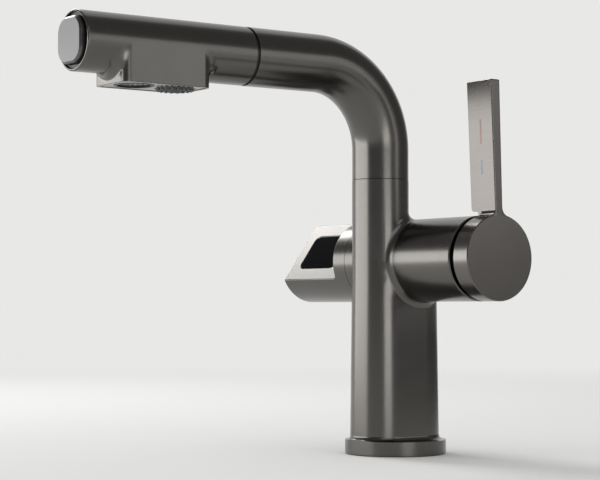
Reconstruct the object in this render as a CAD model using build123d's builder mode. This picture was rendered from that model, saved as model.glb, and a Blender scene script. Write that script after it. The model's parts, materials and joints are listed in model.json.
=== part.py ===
from build123d import *
from math import cos, radians, sin, sqrt

# Pull-out basin mixer, in millimetres and degrees.
# The origin is the centre of the flange's underside and +Z is up. The spout points along -Y, the
# handle along +X and the display along -X. Stations along the barrel are X values, and stations
# along the spout are reaches, measured forward from the origin along -Y.

# Flange and lower body
flange_lip = 0.6
flange_height = 7.4
flange_chamfer = 0.5
foot_fillet = 2.4
seal_margin = 0.6
seal_width = 1.6
seal_depth = 1.6
column_y = -9.6
rear_y = 8.7
foot_radius = 15.8
column_radius = 14.6
body_wall = 2.6
swivel_z = 140.4
junction_fillet = 3.8

# Clearances
press_gap = 0.05
slip_gap = 0.1
running_gap = 0.06
loose_gap = 0.3
overcut = 1.0

# Barrel
barrel_radius = 21.2
barrel_y = 6.5
barrel_z = 99.3
barrel_left = -24.1
barrel_right = 60.0
barrel_chamfer = 0.6

# Waterways
waterway_inset = 11.5
inlet_x = 7.6
inlet_y = 6.2
outlet_y = 12.6
thread_radius = 4.5
thread_depth = 12.0
passage_radius = 2.8
passage_shift = 3.0
hot_level = -5.3
cold_level = -9.3
mixed_level = 8.2
stud_x = 10.2
stud_y = -8.0
stud_radius = 2.5
stud_depth = 12.0

# Pull-out hose
hose_radius = 5.5
hose_bore = 3.5
hose_passage_radius = 6.5
hose_bottom_z = 2.0

# Swivel
washer_thickness = 0.4
nipple_length = 22.6
nipple_reach = 14.6
nipple_bore = 8.4
nipple_neck_radius = 10.6
clip_thickness = 1.6
clip_groove = 1.0
clip_radius = 11.7

# Cartridge, from its base to the handle's pivot
cartridge_radius = 17.5
cartridge_wall = 1.9
base_thickness = 3.7
port_seal_gap = 0.3
port_seal_wall = 0.7
disc_thickness = 3.0
disc_gap = 0.02
moving_disc_radius = 11.0
mixing_recess_width = 11.0
mixing_recess_length = 15.4
carrier_thickness = 2.9
rotor_flange = 4.8
rotor_neck_radius = 8.5
rotor_slot_length = 11.4
rotor_slot_shift = 2.1
neck_slot_length = 11.1
neck_slot_shift = 0.5
housing_shoulder = 2.0
housing_neck_length = 3.0
housing_neck_wall = 1.8
nut_radius = 18.9
nut_length = 8.0
nut_slots = 6
pivot_depth = 9.5
pivot_to_nut = 3.5
pin_radius = 1.5
stem_side = 6.0
stem_reach = 18.5
ball_radius = 2.0
ball_neck_radius = 1.4
ball_to_pivot = 12.2
bonnet_wall = 1.2
bonnet_reach = 15.5

# Handle
handle_gap = 3.1
cap_depth = 10.5
cap_wall = 1.4
cap_face = 1.8
cap_edge = 0.4
hub_radius = 5.4
hub_length = 8.8
lever_width = 17.8
lever_top_z = 186.7
lever_clearance = 1.9
lever_heel_radius = 0.6
lever_neck_inset = 4.4
lever_foot_thickness = 4.7
lever_top_thickness = 5.8
lever_foot_y = 6.2
lever_top_y = 3.9
lever_corner = 1.6
lever_edge = 0.7
lever_seat_depth = 0.8
grub_radius = 2.0
lever_screw_radius = 2.0
lever_screw_head = 3.2
lever_screw_head_height = 1.4
lever_screw_length = 7.0
socket_radius = 1.0
socket_sides = 6
mark_width = 1.2
mark_depth = 0.4
hot_mark_drop = 25.2
hot_mark_length = 12.0
cold_mark_length = 7.0
mark_spacing = 17.5

# Spout
spout_z = 198.0
bend_radius = 42.0
spout_radius = 14.5
spout_wall = 2.2
spout_end = 94.4
dock_depth = 16.0
dock_lip = 1.5
dock_gap = 0.2
dock_bore = 10.4
swivel_bush_length = 11.0

# Spray head
head_radius = 14.4
head_length = 93.3
head_wall = 1.9
head_rear_wall = 2.0
tip_wall = 0.95
tip_depth = 10.8
tip_round = 0.8
shank_radius = 10.1
shank_length = 16.7
hose_spigot_radius = 6.5
hose_spigot_length = 5.4
valve_radius = 6.0
valve_depth = 14.0
valve_inset = 1.0
valve_bore = 2.0
hose_washer_thickness = 1.2
hose_nut_length = 9.1
hose_nut_flats = 16.6
boss_side_inset = 0.2
boss_corner = 4.7
boss_drop = 18.9
boss_front_margin = 3.8
boss_rear_margin = 2.2
boss_fillet = 4.0
boss_wall = 1.2
plate_thickness = 1.7
plate_recess = 0.2
stream_inset = 32.7
stream_radius = 9.7
shower_radius = 9.9
outlet_gap = 2.9
aerator_height = 8.0
aerator_wall = 1.5
mesh_thickness = 1.0
mesh_pitch = 2.6
mesh_hole = 0.95
mesh_count = 5
mat_thickness = 2.0
nub_radius = 0.8
nub_height = 1.3
nub_pitch = 2.75
nub_rings = 3
nub_step = 6
nub_taper = 8.0
shower_chamber = 2.0
channel_radius = 1.6

# Diverter and push button
spool_bore = 4.55
spool_radius = 4.5
spool_rod_radius = 2.0
spool_land = 5.2
spool_clearance = 1.0
spool_front_land = 7.5
spool_seal_width = 1.4
spool_seal_depth = 0.9
feed_radius = 2.2
feed_level = 7.4
button_travel = 3.5
button_side = 21.8
button_corner = 7.7
button_stand = 2.3
button_bevel = 0.9
button_wall = 1.4
button_face = 2.2
button_flange_radius = 13.0
button_flange = 1.5
bezel_depth = 3.8
bezel_recess = 1.2
spring_radius = 7.2
spring_wire = 0.5
spring_turns = 4

# Display unit
display_length = 57.6
display_neck = 10.5
display_gap = 0.3
display_edge = 0.8
shoulder_fillet = 2.0
display_angle = 36.0
display_face_height = 10.15
display_wall = 2.6
display_face_wall = 2.2
display_end_wall = 2.5
spigot_length = 8.1
spigot_wall = 2.0
o_ring_depth = 1.1
o_ring_width = 1.6
o_ring_inset = 1.0
window_inset = 7.8
window_width = 31.4
window_height = 21.4
window_corner = 3.6
window_bevel = 0.6
window_recess = 0.3
lens_lip = 1.5
lens_flange = 1.0
gasket_thickness = 0.5
module_thickness = 2.6
board_thickness = 1.2
board_width = 34.0
board_height = 25.0
plug_length = 4.0
plug_width = 6.0
plug_height = 3.0
lead_radius = 0.5
lead_spacing = 2.0
lead_inset = 1.6
lock_screw_inset = 4.6
lock_screw_radius = 1.5

# Generator
generator_radius = 15.3
flow_seal_thickness = 1.2
generator_wall = 1.2
chamber_wall = 2.1
chamber_depth = 9.2
can_radius = 7.2
can_wall = 1.0
can_bottom = 2.3
wheel_radius = 12.0
wheel_width = 6.5
wheel_hub = 3.0
blade_thickness = 1.2
blade_count = 8
shaft_radius = 1.0
bush_radius = 2.2
bush_length = 1.6
shaft_end_gap = 1.0
magnet_gap = 0.9
coil_outer_radius = 13.2

# Places worked out from the sizes above
body_centre_y = (column_y + rear_y) / 2
body_length = rear_y - column_y
flange_radius = foot_radius - column_y + flange_lip
seal_inner_radius = foot_radius - body_wall - column_y + seal_margin
bore_radius = cartridge_radius + slip_gap
counterbore_radius = nut_radius + slip_gap
column_bore = column_radius - body_wall
spout_bore = spout_radius - spout_wall
spout_low_z = swivel_z + washer_thickness + press_gap
bend_low_z = spout_z - bend_radius
hot_mark_z = lever_top_z - hot_mark_drop
cold_mark_z = hot_mark_z - mark_spacing
head_start = spout_end + dock_lip + dock_gap
head_end = head_start + head_length
button_face_reach = head_end + button_stand
shank_start = head_start - shank_length
hose_spigot_start = shank_start - hose_spigot_length
hose_nut_start = shank_start - loose_gap - hose_nut_length
stream_reach = head_end - stream_inset
shower_reach = stream_reach - stream_radius - outlet_gap - shower_radius
feed_reach = (stream_reach + shower_reach) / 2
boss_front = stream_reach + stream_radius + boss_front_margin
boss_rear = shower_reach - shower_radius - boss_rear_margin
boss_bottom_z = spout_z - boss_drop
pivot_x = barrel_right - pivot_depth
nut_right = pivot_x + pivot_to_nut
nut_left = nut_right - nut_length
housing_inner = cartridge_radius - cartridge_wall
rotor_right = nut_left - housing_shoulder - slip_gap
rotor_left = rotor_right - rotor_flange
carrier_right = rotor_left - slip_gap
carrier_left = carrier_right - carrier_thickness
moving_left = carrier_left - disc_thickness
fixed_right = moving_left - disc_gap
fixed_left = fixed_right - disc_thickness
base_left = fixed_left - base_thickness
waterway_right = base_left - port_seal_gap
waterway_left = barrel_left + waterway_inset
cap_left = barrel_right + handle_gap
cap_right = cap_left + cap_depth
display_left = barrel_left - display_length
display_shoulder = barrel_left - display_neck
housing_right = barrel_left - display_gap
window_left = display_left + window_inset
cavity_face = display_face_height - display_face_wall
spigot_outer = bore_radius - press_gap
spigot_right = barrel_left + spigot_length
lock_screw_x = spigot_right - lock_screw_inset
generator_right = waterway_left - flow_seal_thickness
chamber_left = generator_right - chamber_depth
cover_left = display_shoulder + display_wall + slip_gap
case_left = cover_left + generator_wall
can_left = case_left + can_bottom

# Working planes
column_plane = Plane(origin=(0, column_y, 0))
barrel_plane = Plane(origin=(0, barrel_y, barrel_z), x_dir=(0, 1, 0), z_dir=(1, 0, 0))
barrel_section = Plane(origin=(0, barrel_y, barrel_z), x_dir=(1, 0, 0), z_dir=(0, -1, 0))
barrel_axis = Axis((0, barrel_y, barrel_z), (1, 0, 0))
spout_plane = Plane(origin=(0, 0, spout_z), x_dir=(1, 0, 0), z_dir=(0, -1, 0))
face_normal = (0, -cos(radians(display_angle)), sin(radians(display_angle)))
face_axis_plane = Plane(origin=(0, barrel_y, barrel_z), x_dir=(1, 0, 0), z_dir=face_normal)
face_plane = face_axis_plane.offset(display_face_height)


def round_bar(plane, radius, start, end, at=(0, 0), mode=Mode.ADD):
    """Make a round bar or hole along a plane's normal, between two stations."""
    with BuildSketch(plane.offset(start)) as section:
        with Locations(at):
            Circle(radius)
    extrude(section.sketch, amount=end - start, mode=mode)


def round_tube(plane, outer, inner, start, end, at=(0, 0), mode=Mode.ADD):
    """Make a plain tube or ring along a plane's normal, between two stations."""
    with BuildSketch(plane.offset(start)) as section:
        with Locations(at):
            Circle(outer)
            Circle(inner, mode=Mode.SUBTRACT)
    extrude(section.sketch, amount=end - start, mode=mode)


def block(plane, width, height, start, end, at=(0, 0), mode=Mode.ADD):
    """Make a rectangular bar or slot along a plane's normal, between two stations."""
    with BuildSketch(plane.offset(start)) as section:
        with Locations(at):
            Rectangle(width, height)
    extrude(section.sketch, amount=end - start, mode=mode)


def rounded_block(plane, width, height, corner, start, end, at=(0, 0), mode=Mode.ADD):
    """Make a bar or slot with rounded corners along a plane's normal."""
    with BuildSketch(plane.offset(start)) as section:
        with Locations(at):
            RectangleRounded(width, height, corner)
    extrude(section.sketch, amount=end - start, mode=mode)


def body_stadium(inset, low_z, high_z, mode=Mode.ADD):
    """Make the lower body's tapering stadium, drawn in from its outside by an inset."""
    sections = []
    for z in (low_z, high_z):
        radius = foot_radius + (column_radius - foot_radius) * z / barrel_z - inset
        with BuildSketch(Plane.XY.offset(z)) as section:
            with Locations((0, body_centre_y)):
                SlotCenterToCenter(body_length, 2 * radius, rotation=90)
        sections.append(section.sketch)
    loft(sections, ruled=True, mode=mode)


def boss_block(inset, low_z, high_z, mode=Mode.ADD):
    """Make an upright block with rounded corners, drawn in from the outlet boss by an inset."""
    with BuildSketch(Plane.XY.offset(low_z)) as section:
        with Locations((0, -(boss_rear + boss_front) / 2)):
            RectangleRounded(
                2 * (head_radius - boss_side_inset - inset), boss_front - boss_rear - 2 * inset,
                boss_corner - inset,
            )
    extrude(section.sketch, amount=high_z - low_z, mode=mode)


def save(builder, name):
    """Label a finished piece and write it under its name."""
    builder.part.label = name
    export_step(builder.part, f"parts/{name}.step")


# Fixed body

# The body shell: flange, tapering stadium, cross barrel and the round stub under the swivel.
with BuildPart() as body_shell:
    round_bar(Plane.XY, flange_radius + 2 * foot_fillet, 0, flange_height)
    body_stadium(0, 0, barrel_z)
    flange_top = body_shell.faces().filter_by(Axis.Z).filter_by_position(
        Axis.Z, flange_height - slip_gap, flange_height + slip_gap
    )
    fillet(flange_top[0].inner_wires()[0].edges(), foot_fillet)
    round_bar(Plane.XY, flange_radius, 0, swivel_z, mode=Mode.INTERSECT)
    flange_rim = body_shell.faces().filter_by(Axis.Z).sort_by(Axis.Z)[0].outer_wire().edges()
    chamfer(flange_rim, flange_chamfer)
    round_bar(barrel_plane, barrel_radius, barrel_left, barrel_right)
    round_bar(column_plane, column_radius, barrel_z, swivel_z)
    barrel_faces = (
        body_shell.faces()
        .filter_by(GeomType.CYLINDER)
        .filter_by(lambda face: abs(face.radius - barrel_radius) < slip_gap)
    )
    junction = barrel_faces.edges().filter_by(GeomType.CIRCLE, reverse=True)
    junction = junction.filter_by(GeomType.LINE, reverse=True)
    fillet(junction, junction_fillet)
    barrel_rim = body_shell.faces().filter_by(Axis.X).sort_by(Axis.X)[-1].edges()
    chamfer(barrel_rim, barrel_chamfer)
    body_stadium(body_wall, 0, barrel_z, mode=Mode.SUBTRACT)
    round_bar(column_plane, column_bore, barrel_z, swivel_z, mode=Mode.SUBTRACT)
    round_bar(barrel_plane, bore_radius, barrel_left, barrel_right, mode=Mode.SUBTRACT)
    round_bar(barrel_plane, counterbore_radius, nut_left, barrel_right, mode=Mode.SUBTRACT)
    round_tube(
        Plane.XY, seal_inner_radius + seal_width, seal_inner_radius, 0, seal_depth, mode=Mode.SUBTRACT
    )
    round_bar(
        Plane.XY, lock_screw_radius + press_gap, barrel_z - barrel_radius,
        barrel_z - bore_radius + overcut, (lock_screw_x, barrel_y), Mode.SUBTRACT,
    )
save(body_shell, "body_shell")

# The waterway block fills the body and the barrel's middle. Each passage runs up from its thread in
# the underside, then along the barrel.
with BuildPart() as waterway_block:
    body_stadium(body_wall + press_gap, 0, barrel_z)
    round_bar(barrel_plane, cartridge_radius, waterway_left, waterway_right)
    round_bar(column_plane, hose_passage_radius, 0, swivel_z, mode=Mode.SUBTRACT)
    for side, shift, level in ((-1, passage_shift, hot_level), (1, -passage_shift, cold_level)):
        thread_place = (side * inlet_x, inlet_y)
        passage_place = (side * inlet_x, inlet_y + shift)
        port_place = (inlet_y + shift - barrel_y, level)
        passage_top = barrel_z + level + passage_radius
        round_bar(Plane.XY, thread_radius, 0, thread_depth, thread_place, Mode.SUBTRACT)
        round_bar(Plane.XY, passage_radius, thread_depth, passage_top, passage_place, Mode.SUBTRACT)
        round_bar(
            barrel_plane, passage_radius, side * inlet_x, waterway_right, port_place, Mode.SUBTRACT
        )
    return_place = (0, outlet_y + passage_radius - slip_gap)
    return_port = (return_place[1] - barrel_y, 0)
    round_bar(Plane.XY, thread_radius, 0, thread_depth, (0, outlet_y), Mode.SUBTRACT)
    round_bar(
        Plane.XY, passage_radius, thread_depth, barrel_z + passage_radius, return_place,
        Mode.SUBTRACT,
    )
    round_bar(barrel_plane, passage_radius, waterway_left, 0, return_port, Mode.SUBTRACT)
    round_bar(
        barrel_plane, passage_radius, waterway_left, waterway_right, (0, mixed_level), Mode.SUBTRACT
    )
    round_bar(
        barrel_plane, bush_radius + press_gap, waterway_left,
        waterway_left + bush_length + shaft_end_gap, mode=Mode.SUBTRACT,
    )
    for side in (-1, 1):
        round_bar(Plane.XY, stud_radius, 0, stud_depth, (side * stud_x, stud_y), Mode.SUBTRACT)
save(waterway_block, "waterway_block")

# The seal lies flush in the groove of the flange's underside.
with BuildPart() as base_seal:
    round_tube(
        Plane.XY, seal_inner_radius + seal_width - press_gap, seal_inner_radius + press_gap,
        0, seal_depth - press_gap,
    )
save(base_seal, "base_seal")

# The nipple stands in the column's bore and carries the turning spout on its neck.
nipple_top = swivel_z + nipple_reach
clip_base_z = spout_low_z + swivel_bush_length + loose_gap + press_gap
with BuildPart() as swivel_nipple:
    round_bar(column_plane, column_bore - press_gap, swivel_z - nipple_length, swivel_z)
    round_bar(column_plane, nipple_neck_radius, swivel_z, nipple_top)
    round_tube(
        column_plane, nipple_neck_radius + overcut, nipple_neck_radius - clip_groove,
        clip_base_z, clip_base_z + clip_thickness, mode=Mode.SUBTRACT,
    )
    round_bar(column_plane, nipple_bore, swivel_z - nipple_length, nipple_top, mode=Mode.SUBTRACT)
save(swivel_nipple, "swivel_nipple")

# A split ring in the nipple's groove keeps the spout down.
with BuildPart() as nipple_clip:
    round_tube(
        column_plane, clip_radius, nipple_neck_radius - clip_groove + press_gap,
        clip_base_z + press_gap, clip_base_z + clip_thickness - press_gap,
    )
    block(
        column_plane, clip_radius, nipple_neck_radius, clip_base_z, clip_base_z + clip_thickness,
        (clip_radius, 0), Mode.SUBTRACT,
    )
save(nipple_clip, "nipple_clip")

with BuildPart() as swivel_washer:
    round_tube(
        column_plane, column_radius - loose_gap, nipple_neck_radius + loose_gap,
        swivel_z, swivel_z + washer_thickness,
    )
save(swivel_washer, "swivel_washer")

# The hose's fixed stretch rises through the body to the swivel.
with BuildPart() as hose_riser:
    round_tube(column_plane, hose_radius, hose_bore, hose_bottom_z, bend_low_z - slip_gap)
save(hose_riser, "hose_riser")

# Cartridge

port_places = (
    (inlet_y + passage_shift - barrel_y, hot_level),
    (inlet_y - passage_shift - barrel_y, cold_level),
    (0, mixed_level),
)

with BuildPart() as cartridge_seals:
    for place in port_places:
        round_tube(
            barrel_plane, passage_radius + port_seal_wall, passage_radius,
            waterway_right, base_left + port_seal_gap, place,
        )
save(cartridge_seals, "cartridge_seals")

with BuildPart() as cartridge_base:
    round_bar(barrel_plane, cartridge_radius, base_left, fixed_left)
    for place in port_places:
        round_bar(barrel_plane, passage_radius, base_left, fixed_left, place, Mode.SUBTRACT)
        round_bar(
            barrel_plane, passage_radius + port_seal_wall, base_left, base_left + port_seal_gap,
            place, Mode.SUBTRACT,
        )
save(cartridge_base, "cartridge_base")

with BuildPart() as fixed_disc:
    round_bar(barrel_plane, housing_inner - slip_gap, fixed_left, fixed_right)
    for place in port_places:
        round_bar(barrel_plane, passage_radius, fixed_left, fixed_right, place, Mode.SUBTRACT)
save(fixed_disc, "fixed_disc")

# The housing closes over the discs and the rotor. The nut bears on its shoulder.
with BuildPart() as cartridge_housing:
    round_bar(barrel_plane, cartridge_radius, fixed_left, nut_left)
    round_bar(
        barrel_plane, rotor_neck_radius + running_gap + housing_neck_wall,
        nut_left, nut_left + housing_neck_length,
    )
    round_bar(
        barrel_plane, housing_inner, fixed_left, nut_left - housing_shoulder, mode=Mode.SUBTRACT
    )
    round_bar(
        barrel_plane, rotor_neck_radius + running_gap, fixed_left, nut_right, mode=Mode.SUBTRACT
    )
save(cartridge_housing, "cartridge_housing")

with BuildPart() as cartridge_nut:
    round_tube(
        barrel_plane, nut_radius, rotor_neck_radius + housing_neck_wall + loose_gap,
        nut_left, nut_right,
    )
    with BuildSketch(barrel_plane.offset(nut_right)):
        with PolarLocations((nut_radius + rotor_neck_radius + housing_neck_wall) / 2, nut_slots):
            Circle(nut_length / 4)
    extrude(amount=-nut_length / 2, mode=Mode.SUBTRACT)
save(cartridge_nut, "cartridge_nut")

# The bonnet is a zone of a sphere about the tilt pivot, so it stays clear of the tilting cap.
bonnet_base_radius = counterbore_radius - loose_gap
bonnet_sphere = sqrt(bonnet_base_radius**2 + pivot_depth**2)
bonnet_left = nut_right + slip_gap
with BuildPart() as bonnet_dome:
    with BuildSketch(barrel_plane.offset(bonnet_left)):
        Circle(bonnet_base_radius)
        Circle(bonnet_base_radius - bonnet_wall, mode=Mode.SUBTRACT)
    extrude(amount=barrel_right - bonnet_left)
    with BuildSketch(barrel_section):
        with BuildLine():
            outer_low = (barrel_right, bonnet_base_radius)
            outer_high = (pivot_x + bonnet_reach, sqrt(bonnet_sphere**2 - bonnet_reach**2))
            inner_sphere = bonnet_sphere - bonnet_wall
            inner_high = (pivot_x + bonnet_reach, sqrt(inner_sphere**2 - bonnet_reach**2))
            inner_low = (barrel_right, sqrt(inner_sphere**2 - pivot_depth**2))
            RadiusArc(outer_low, outer_high, bonnet_sphere)
            Line(outer_high, inner_high)
            RadiusArc(inner_high, inner_low, -inner_sphere)
            Line(inner_low, outer_low)
        make_face()
    revolve(axis=barrel_axis)
save(bonnet_dome, "bonnet_dome")

# The rotor turns in the housing. Its slot lets the stem tilt one way from upright.
with BuildPart() as cartridge_rotor:
    round_bar(barrel_plane, housing_inner - slip_gap, rotor_left, rotor_right)
    round_bar(barrel_plane, rotor_neck_radius, rotor_right, nut_right)
    block(
        barrel_plane, stem_side + 2 * slip_gap, rotor_slot_length, rotor_left, rotor_right,
        (0, rotor_slot_shift), Mode.SUBTRACT,
    )
    block(
        barrel_plane, stem_side + 2 * slip_gap, neck_slot_length, rotor_right, nut_right,
        (0, neck_slot_shift), Mode.SUBTRACT,
    )
    round_bar(
        barrel_section, pin_radius, -rotor_neck_radius, rotor_neck_radius, (pivot_x, 0), Mode.SUBTRACT
    )
save(cartridge_rotor, "cartridge_rotor")

with BuildPart() as pivot_pin:
    pin_half = sqrt(rotor_neck_radius**2 - pin_radius**2) - slip_gap
    round_bar(barrel_section, pin_radius, -pin_half, pin_half, (pivot_x, 0))
save(pivot_pin, "pivot_pin")

with BuildPart() as moving_disc:
    round_bar(barrel_plane, moving_disc_radius, moving_left, carrier_left)
    rounded_block(
        barrel_plane, mixing_recess_width, mixing_recess_length, passage_radius,
        moving_left, moving_left + disc_thickness / 2, mode=Mode.SUBTRACT,
    )
save(moving_disc, "moving_disc")

with BuildPart() as disc_carrier:
    round_bar(barrel_plane, moving_disc_radius, carrier_left, carrier_right)
    round_bar(
        barrel_plane, ball_radius + 2 * slip_gap, carrier_left, carrier_right, mode=Mode.SUBTRACT
    )
save(disc_carrier, "disc_carrier")

# The stem turns on the pin. Its ball drives the carrier, and its square end holds the handle.
with BuildPart() as cartridge_stem:
    shoulder_x = pivot_x - ball_to_pivot / 2
    ball_x = pivot_x - ball_to_pivot
    with BuildSketch(barrel_section):
        with BuildLine():
            neck_start = (ball_x + sqrt(ball_radius**2 - ball_neck_radius**2), ball_neck_radius)
            RadiusArc((ball_x - ball_radius, 0), neck_start, ball_radius)
            Polyline(
                neck_start, (shoulder_x, ball_neck_radius), (shoulder_x, 0), (ball_x - ball_radius, 0)
            )
        make_face()
    revolve(axis=barrel_axis)
    block(barrel_plane, stem_side, stem_side, shoulder_x, pivot_x + stem_reach)
    round_bar(
        barrel_section, pin_radius + running_gap, -stem_side, stem_side, (pivot_x, 0), Mode.SUBTRACT
    )
save(cartridge_stem, "cartridge_stem")

# Handle

hub_left = cap_right - cap_face - hub_length
screw_x = cap_left + cap_depth / 2

# The lever leans a little forward and widens towards its top.
lever_left = cap_right - lever_width
lever_low_z = barrel_z + barrel_radius + lever_clearance
lever_seat_z = barrel_z + barrel_radius - lever_seat_depth
neck_x = cap_left - lever_neck_inset + lever_clearance
cut_left = lever_left - overcut
cut_low_z = lever_seat_z - overcut


def lever_face(z):
    """Give the lever's front and back Y at a height."""
    share = (z - lever_low_z) / (lever_top_z - lever_low_z)
    middle = lever_foot_y + (lever_top_y - lever_foot_y) * share
    half = (lever_foot_thickness + (lever_top_thickness - lever_foot_thickness) * share) / 2
    return middle - half, middle + half


low_front = lever_face(lever_low_z)[0]
top_front, top_back = lever_face(lever_top_z)


def lever_blank(gap):
    """Make the leaning bar with softened top and outer edges, grown by a gap, from its seat up."""
    seat_front, seat_back = lever_face(lever_seat_z)
    with BuildPart(mode=Mode.PRIVATE) as blank:
        with BuildSketch(Plane.YZ.offset(lever_left - gap)):
            Polygon(
                (seat_front - gap, lever_seat_z - gap), (seat_back + gap, lever_seat_z - gap),
                (top_back + gap, lever_top_z + gap), (top_front - gap, lever_top_z + gap),
                align=None,
            )
        extrude(amount=lever_width + 2 * gap)
        outer_edges = blank.faces().sort_by(Axis.X)[-1].edges().sort_by(Axis.Z)[1:]
        top_edges = blank.faces().sort_by(Axis.Z)[-1].edges().sort_by(Axis.X)[:-1]
        fillet(outer_edges + top_edges, lever_edge)
    return blank.part


# The cap is a thin cup over the barrel's end, with a square hub for the stem and a seat for the
# lever's foot.
with BuildPart() as handle_cap:
    round_bar(barrel_plane, barrel_radius, cap_left, cap_right)
    chamfer(handle_cap.edges().filter_by(GeomType.CIRCLE), cap_edge)
    round_bar(
        barrel_plane, barrel_radius - cap_wall, cap_left, cap_right - cap_face, mode=Mode.SUBTRACT
    )
    round_bar(barrel_plane, hub_radius, hub_left, cap_right - cap_face)
    block(
        barrel_plane, stem_side + 2 * press_gap, stem_side + 2 * press_gap,
        hub_left, pivot_x + stem_reach + slip_gap, mode=Mode.SUBTRACT,
    )
    grub_x = cap_right - cap_face - hub_length / 3
    round_bar(
        barrel_section, grub_radius + press_gap, -barrel_radius - overcut, 0, (grub_x, 0), Mode.SUBTRACT
    )
    round_bar(
        Plane.XY, lever_screw_radius + press_gap, barrel_z + hub_radius + overcut,
        barrel_z + barrel_radius + overcut, (screw_x, barrel_y), Mode.SUBTRACT,
    )
    add(lever_blank(press_gap), mode=Mode.SUBTRACT)
save(handle_cap, "handle_cap")

# A grub screw in the cap's back grips the stem.
with BuildPart() as grub_screw:
    round_bar(
        barrel_section, grub_radius, -hub_radius + slip_gap, -stem_side / 2 - press_gap, (grub_x, 0)
    )
    with BuildSketch(barrel_section.offset(-hub_radius + slip_gap)):
        with Locations((grub_x, 0)):
            RegularPolygon(socket_radius, socket_sides)
    extrude(amount=socket_radius, mode=Mode.SUBTRACT)
save(grub_screw, "grub_screw")

# The lever's foot is let into a seat in the cap, and the rest of its lower end hangs clear over
# the barrel. Two grooves in its front take the hot and cold marks.
lever_front_plane = Plane(
    origin=(lever_left + lever_width / 2, low_front, lever_low_z),
    x_dir=(1, 0, 0),
    z_dir=(0, lever_low_z - lever_top_z, top_front - low_front),
)
lever_marks = ((hot_mark_z, hot_mark_length), (cold_mark_z, cold_mark_length))
with BuildPart() as lever_bar:
    add(lever_blank(0))
    with BuildSketch(Plane.XZ.offset(-barrel_radius)):
        with BuildLine():
            FilletPolyline(
                (neck_x, cut_low_z), (neck_x, lever_low_z), (cut_left, lever_low_z),
                radius=lever_heel_radius,
            )
            Polyline((cut_left, lever_low_z), (cut_left, cut_low_z), (neck_x, cut_low_z))
        make_face()
    extrude(amount=2 * barrel_radius, mode=Mode.SUBTRACT)
    low_corner = lever_bar.edges().filter_by(Axis.Y).group_by(Axis.X)[0].sort_by(Axis.Z)[0]
    fillet(low_corner, lever_corner)
    round_bar(barrel_plane, barrel_radius, cut_left, cap_left, mode=Mode.SUBTRACT)
    round_bar(
        Plane.XY, lever_screw_radius + press_gap, cut_low_z, lever_low_z + lever_screw_length,
        (screw_x, barrel_y), Mode.SUBTRACT,
    )
    for mark_z, mark_length in lever_marks:
        block(
            lever_front_plane, mark_width, mark_length, -mark_depth, overcut,
            (0, mark_z - lever_low_z), Mode.SUBTRACT,
        )
save(lever_bar, "lever_bar")

for name, (mark_z, mark_length) in zip(("hot_mark", "cold_mark"), lever_marks):
    with BuildPart() as mark:
        block(
            lever_front_plane, mark_width - slip_gap, mark_length - slip_gap, -mark_depth, 0,
            (0, mark_z - lever_low_z),
        )
    save(mark, name)

# The screw's head lies inside the cap and its shank holds the lever.
with BuildPart() as lever_screw:
    head_top = barrel_z + sqrt((barrel_radius - cap_wall) ** 2 - lever_screw_head**2) - press_gap
    head_bottom = head_top - lever_screw_head_height
    round_bar(Plane.XY, lever_screw_head, head_bottom, head_top, (screw_x, barrel_y))
    round_bar(
        Plane.XY, lever_screw_radius, head_top, lever_low_z + lever_screw_length - loose_gap,
        (screw_x, barrel_y),
    )
    with BuildSketch(Plane.XY.offset(head_bottom)):
        with Locations((screw_x, barrel_y)):
            RegularPolygon(socket_radius, socket_sides)
    extrude(amount=socket_radius, mode=Mode.SUBTRACT)
save(lever_screw, "lever_screw")

# Spout

with BuildPart() as spout_tube:
    with BuildLine():
        rise = Line((0, column_y, spout_low_z), (0, column_y, bend_low_z))
        bend = TangentArc(rise @ 1, (0, column_y - bend_radius, spout_z), tangent=rise % 1)
        Line(bend @ 1, (0, -spout_end, spout_z))
    with BuildSketch(column_plane.offset(spout_low_z)):
        Circle(spout_radius)
        Circle(spout_bore, mode=Mode.SUBTRACT)
    sweep()
save(spout_tube, "spout_tube")

# The bush is glued in the spout and turns on the nipple's neck.
with BuildPart() as spout_bush:
    round_tube(
        column_plane, spout_bore - press_gap, nipple_neck_radius + running_gap,
        spout_low_z + loose_gap, spout_low_z + loose_gap + swivel_bush_length,
    )
save(spout_bush, "spout_bush")

# The dock guides the head's shank, and its lip is the dark ring in the seam.
with BuildPart() as dock_bush:
    round_bar(spout_plane, spout_bore - press_gap, spout_end - dock_depth, spout_end)
    round_bar(spout_plane, spout_radius - 2 * loose_gap, spout_end, spout_end + dock_lip)
    round_bar(
        spout_plane, dock_bore, spout_end - dock_depth, spout_end + dock_lip, mode=Mode.SUBTRACT
    )
save(dock_bush, "dock_bush")

with BuildPart() as hose_elbow:
    bend_end = -column_y + bend_radius
    with BuildLine():
        start = (0, column_y, bend_low_z)
        TangentArc(start, (0, -bend_end, spout_z), tangent=(0, 0, 1))
    with BuildSketch(column_plane.offset(bend_low_z)):
        Circle(hose_radius)
        Circle(hose_bore, mode=Mode.SUBTRACT)
    sweep()
save(hose_elbow, "hose_elbow")

# Spray head

plate_low_z = boss_bottom_z + plate_recess
plate_top_z = plate_low_z + plate_thickness
block_inset = boss_wall + slip_gap
block_start = head_start + head_rear_wall + slip_gap
tip_start = head_end - tip_depth
stream_place = (0, -stream_reach)
shower_place = (0, -shower_reach)

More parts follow.
